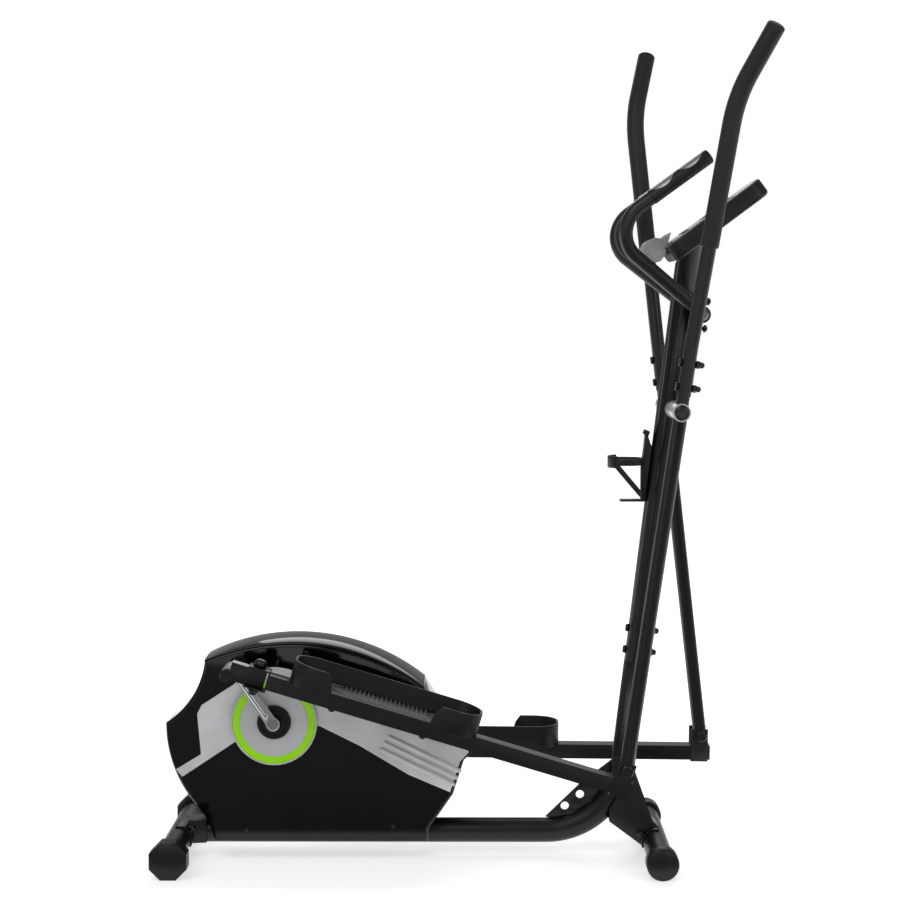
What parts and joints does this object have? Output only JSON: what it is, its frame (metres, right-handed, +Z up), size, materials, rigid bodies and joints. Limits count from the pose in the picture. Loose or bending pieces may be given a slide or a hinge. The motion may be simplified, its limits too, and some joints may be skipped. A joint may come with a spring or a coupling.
{
  "type": "elliptical trainer",
  "caption": "Elliptical cross trainer with a rear drive in a black and silver shroud, swinging handle arms, tub foot plates on pedal bars, console, fixed hand bar and bottle cage.",
  "frame": {"origin": "on the floor, at the bottom centre of the bounding box", "axes": "+X to the front, where the console is, +Y to the machine left, +Z up"},
  "size_m": [1.2201, 0.6452, 1.6653],
  "materials": {
    "black_paint": "satin black powder coat",
    "black_gloss_plastic": "high-gloss black ABS",
    "silver_plastic": "silver lacquered ABS",
    "green_plastic": "bright green ABS",
    "black_plastic": "fine-grained black plastic",
    "roller_plastic": "matt black plastic",
    "black_hardware": "black capped fasteners",
    "zinc_steel": "zinc-plated steel",
    "satin_silver": "satin silver paint",
    "chrome": "chrome plate",
    "cast_iron": "turned cast iron",
    "belt_rubber": "ribbed rubber belt",
    "grip_foam": "closed-cell foam",
    "sensor_metal": "pulse sensor plates",
    "smoke_plastic": "translucent grey plastic",
    "screen_glass": "display window",
    "key_rubber": "silicone keys"
  },
  "bodies": {
    "frame": {"main_tube": "black_paint", "frame_brackets": "black_paint", "upright_post": "black_paint", "rear_stabiliser": "black_paint", "front_stabiliser": "black_paint", "frame_bolts": "black_hardware", "shroud_right": "black_gloss_plastic", "shroud_left": "black_gloss_plastic", "shroud_top_cover": "black_gloss_plastic", "side_trims": "silver_plastic", "disc_covers": "silver_plastic", "accent_rings": "green_plastic", "hub_caps": "black_plastic", "shroud_screws": "black_hardware", "drive_frame": "black_paint", "crank_bearings": "zinc_steel", "flywheel_axle": "zinc_steel", "drive_belt": "belt_rubber", "resistance_motor": "black_plastic", "pivot_axle": "zinc_steel", "console_housing": "black_plastic", "console_bezel": "silver_plastic", "console_screen": "screen_glass", "tablet_holder": "smoke_plastic", "pulse_bar": "black_paint", "hand_sensors": "sensor_metal", "bar_clamp": "black_paint", "bottle_cage": "black_plastic"},
    "crank": {"crank_axle": "zinc_steel", "crank_arm_right": "chrome", "crank_arm_left": "chrome", "drive_pulley": "black_plastic"},
    "flywheel": {"flywheel": "cast_iron"},
    "idler": {"idler_wheel": "black_plastic"},
    "magnet_carrier": {"magnet_bracket": "black_paint"},
    "up_key": {"up_key": "key_rubber"},
    "mode_key": {"mode_key": "key_rubber"},
    "down_key": {"down_key": "key_rubber"},
    "swing_right": {"swing_arm_right": "black_paint", "pivot_sleeve_right": "satin_silver", "upper_handle_right": "black_paint", "foam_grip_right": "grip_foam", "arm_hardware_right": "black_hardware"},
    "pedal_right": {"pedal_bar_right": "black_paint", "foot_plate_right": "black_plastic", "pedal_hardware_right": "black_hardware"},
    "yoke_right": {"crank_yoke_right": "satin_silver"},
    "transport_roller_right": {"transport_roller_right": "roller_plastic"},
    "levelling_cap_right": {"levelling_cap_right": "black_plastic"},
    "swing_left": {"swing_arm_left": "black_paint", "pivot_sleeve_left": "satin_silver", "upper_handle_left": "black_paint", "foam_grip_left": "grip_foam", "arm_hardware_left": "black_hardware"},
    "pedal_left": {"pedal_bar_left": "black_paint", "foot_plate_left": "black_plastic", "pedal_hardware_left": "black_hardware"},
    "yoke_left": {"crank_yoke_left": "satin_silver"},
    "transport_roller_left": {"transport_roller_left": "roller_plastic"},
    "levelling_cap_left": {"levelling_cap_left": "black_plastic"}
  },
  "joints": [
    {"name": "crank_spin", "type": "hinge", "parent": "frame", "child": "crank", "pos_m": [-0.374, 0, 0.285], "axis": [0, 1, 0], "continuous": true},
    {"name": "flywheel_spin", "type": "hinge", "parent": "frame", "child": "flywheel", "pos_m": [-0.16, 0, 0.215], "axis": [0, 1, 0], "continuous": true},
    {"name": "idler_spin", "type": "hinge", "parent": "frame", "child": "idler", "pos_m": [-0.21033, 0, 0.15751], "axis": [0, 1, 0], "continuous": true},
    {"name": "magnet_swing", "type": "hinge", "parent": "frame", "child": "magnet_carrier", "pos_m": [-0.07636, 0, 0.12211], "axis": [0, 1, 0], "range_deg": [0, 6]},
    {"name": "swing_right_hinge", "type": "hinge", "parent": "frame", "child": "swing_right", "pos_m": [0.42983, -0.18, 0.91315], "axis": [0, 1, 0], "range_deg": [-18.1, 3.3]},
    {"name": "pedal_right_hinge", "type": "hinge", "parent": "swing_right", "child": "pedal_right", "pos_m": [0.32726, -0.18, 0.21312], "axis": [0, 1, 0], "range_deg": [-3.3, 18.1]},
    {"name": "yoke_right_swivel", "type": "hinge", "parent": "pedal_right", "child": "yoke_right", "pos_m": [-0.39751, -0.18, 0.39347], "axis": [0.288, 0, 0.9576], "range_deg": [-2, 2]},
    {"name": "transport_roller_right_spin", "type": "hinge", "parent": "frame", "child": "transport_roller_right", "pos_m": [0.397, -0.204, 0.032], "axis": [0, 1, 0], "continuous": true},
    {"name": "levelling_cap_right_turn", "type": "hinge", "parent": "frame", "child": "levelling_cap_right", "pos_m": [-0.573, -0.204, 0.037], "axis": [0, 1, 0], "range_deg": [-90, 90]},
    {"name": "swing_left_hinge", "type": "hinge", "parent": "frame", "child": "swing_left", "pos_m": [0.42983, 0.18, 0.91315], "axis": [0, 1, 0], "range_deg": [-3.3, 18.1]},
    {"name": "pedal_left_hinge", "type": "hinge", "parent": "swing_left", "child": "pedal_left", "pos_m": [0.50993, 0.18, 0.2102], "axis": [0, 1, 0], "range_deg": [-18.1, 3.3]},
    {"name": "yoke_left_swivel", "type": "hinge", "parent": "pedal_left", "child": "yoke_left", "pos_m": [-0.23637, 0.18, 0.18119], "axis": [0.0094, 0, 1], "range_deg": [-2, 2]},
    {"name": "transport_roller_left_spin", "type": "hinge", "parent": "frame", "child": "transport_roller_left", "pos_m": [0.397, 0.204, 0.032], "axis": [0, 1, 0], "continuous": true},
    {"name": "levelling_cap_left_turn", "type": "hinge", "parent": "frame", "child": "levelling_cap_left", "pos_m": [-0.573, 0.204, 0.037], "axis": [0, 1, 0], "range_deg": [-90, 90]},
    {"name": "down_key_press", "type": "slide", "parent": "frame", "child": "down_key", "axis": [0.5962, 0, -0.8028], "range_m": [0, 0.001], "stiffness_N_per_m": 600},
    {"name": "mode_key_press", "type": "slide", "parent": "frame", "child": "mode_key", "axis": [0.5962, 0, -0.8028], "range_m": [0, 0.001], "stiffness_N_per_m": 600},
    {"name": "up_key_press", "type": "slide", "parent": "frame", "child": "up_key", "axis": [0.5962, 0, -0.8028], "range_m": [0, 0.001], "stiffness_N_per_m": 600}
  ],
  "couplings": [
    {"joint": "flywheel_spin", "follows": "crank_spin", "ratio": 5.9091},
    {"joint": "idler_spin", "follows": "crank_spin", "ratio": -5.9091},
    {"joint": "swing_left_hinge", "follows": "swing_right_hinge", "ratio": -1},
    {"joint": "pedal_right_hinge", "follows": "swing_right_hinge", "ratio": -1},
    {"joint": "pedal_left_hinge", "follows": "swing_right_hinge", "ratio": 1}
  ]
}
